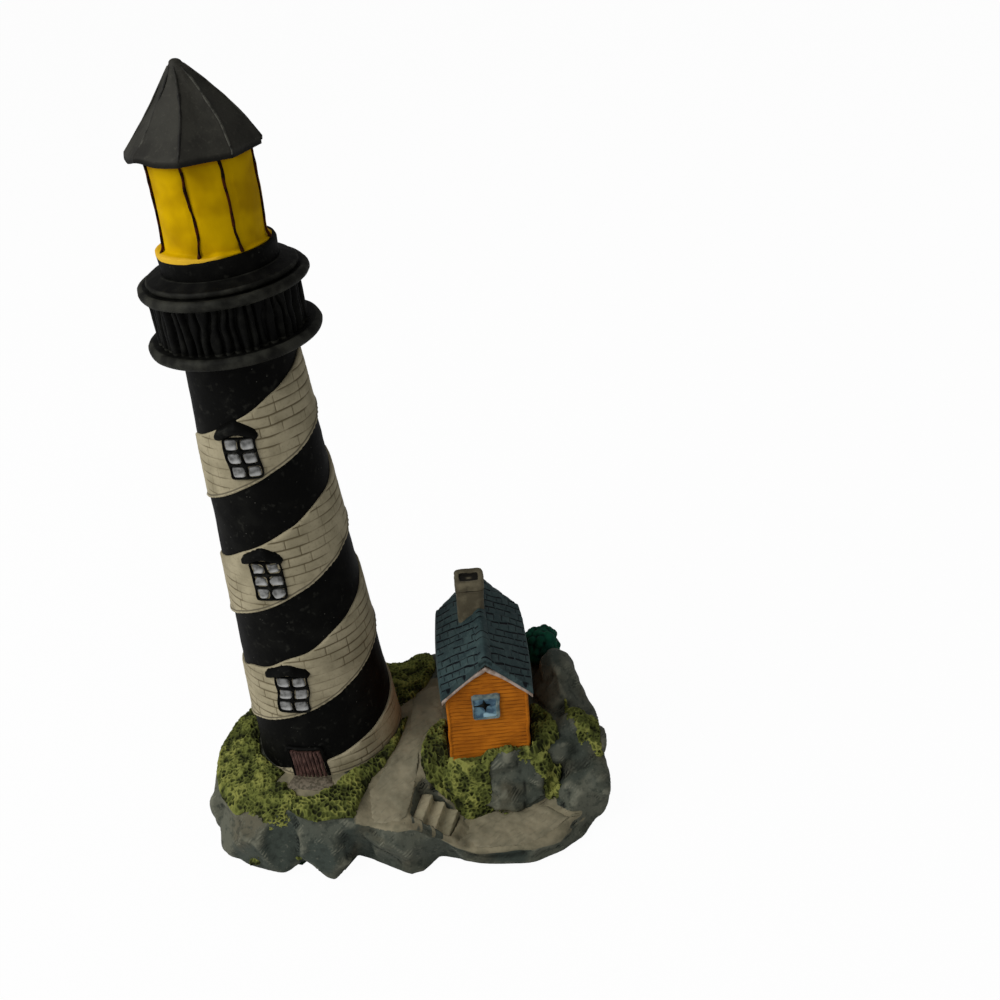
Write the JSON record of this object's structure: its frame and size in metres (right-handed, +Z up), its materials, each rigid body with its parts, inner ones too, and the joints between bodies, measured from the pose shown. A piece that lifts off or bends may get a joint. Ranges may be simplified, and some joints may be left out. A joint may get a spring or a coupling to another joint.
{
  "type": "lighthouse figurine",
  "caption": "Tall spiral-striped lighthouse with a railed gallery, yellow lantern and pointed roof, beside a small cottage on a mossy rock base; a free-standing ornament.",
  "frame": {"origin": "on the tower's axis, in the plane of the felt's underside, which is the face that it stands on", "axes": "+Z up along the tower, +X from the tower towards the cottage, -Y towards the front, which the cottage's gable window faces"},
  "size_m": [0.1374, 0.0888, 0.2501],
  "materials": {
    "rock_paint": "cast resin painted in washes of blue-grey and brown, matt",
    "felt": "short green felt",
    "paving_paint": "matt sandy wash over cast paving",
    "doorstep_paint": "matt pinkish sand",
    "moss_paint": "matt yellow-green over a pitted cushion texture, dark in the pits",
    "bush_paint": "satin dark green",
    "black_paint": "satin black, dry-brushed grey on the edges",
    "cream_brick_paint": "matt cream over engraved brickwork",
    "silver_paint": "silver-grey paint on raised panes",
    "door_paint": "matt reddish brown planks",
    "roof_paint": "matt charcoal, worn lighter on the ridges",
    "lantern_paint": "satin golden yellow",
    "siding_paint": "matt orange with brown wash in the laps",
    "slate_paint": "matt blue-grey with dark lines between the shingles",
    "trim_paint": "matt pinkish white",
    "cottage_window_paint": "matt pale blue",
    "glass_paint": "satin blue",
    "chimney_paint": "matt stone grey"
  },
  "bodies": {
    "root": {"felt_pad": "felt", "rock_base": "rock_paint", "footpath": "paving_paint", "terrace": "paving_paint", "steps": "paving_paint", "doorstep": "doorstep_paint", "moss_left": "moss_paint", "moss_front": "moss_paint", "moss_back": "moss_paint", "moss_cottage": "moss_paint", "moss_right": "moss_paint", "moss_rear": "moss_paint", "bush": "bush_paint", "tower_shaft": "black_paint", "white_stripe": "cream_brick_paint", "window_frames": "black_paint", "window_panes": "silver_paint", "window_hoods": "black_paint", "door_planks": "door_paint", "door_frame": "door_paint", "gallery_floor": "black_paint", "gallery_railing": "black_paint", "upper_deck": "black_paint", "lantern_plinth": "black_paint", "lantern_panes": "lantern_paint", "glazing_bars": "black_paint", "lantern_roof": "roof_paint", "roof_ribs": "roof_paint", "cottage_walls": "siding_paint", "cottage_siding": "siding_paint", "cottage_window_frame": "cottage_window_paint", "cottage_window_panes": "glass_paint", "bargeboards": "trim_paint", "cottage_roof": "slate_paint", "ridge_cap": "slate_paint", "chimney_stack": "chimney_paint", "chimney_cap": "chimney_paint"}
  },
  "joints": []
}
